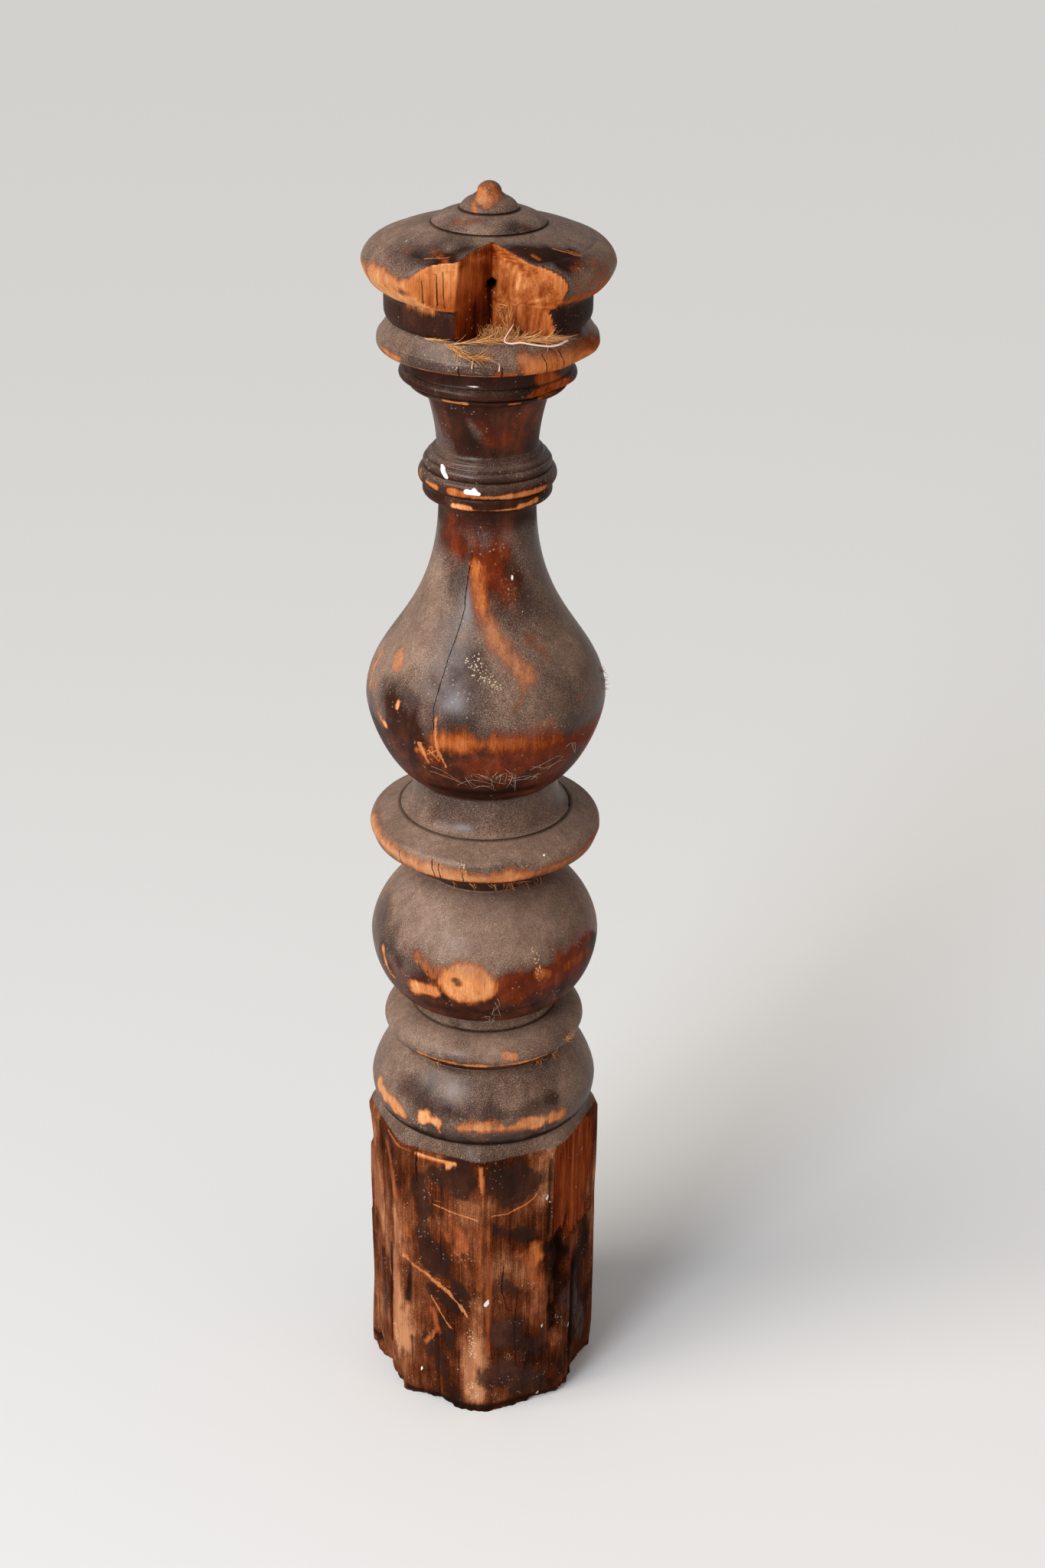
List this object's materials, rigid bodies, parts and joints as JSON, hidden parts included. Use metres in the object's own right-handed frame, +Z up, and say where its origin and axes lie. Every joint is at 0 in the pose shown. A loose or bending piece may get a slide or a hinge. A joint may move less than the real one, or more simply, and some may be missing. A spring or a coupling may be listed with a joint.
{
  "type": "newel post",
  "caption": "Turned wooden newel post broken out of its stair: domed cap with a chopped rail housing, beaded neck, vase bulb, discs, ball and eight-sided foot.",
  "frame": {"origin": "centre of the underside of the eight-sided foot, on the floor", "axes": "+Z up along the post's turning axis, -Y out of the side with the rail housing, X across it"},
  "size_m": [0.1928, 0.1928, 1.0253],
  "materials": {
    "aged_wood": "old dark varnish, dusty, worn to bare wood"
  },
  "bodies": {
    "root": {"newel_post": "aged_wood"}
  },
  "joints": []
}
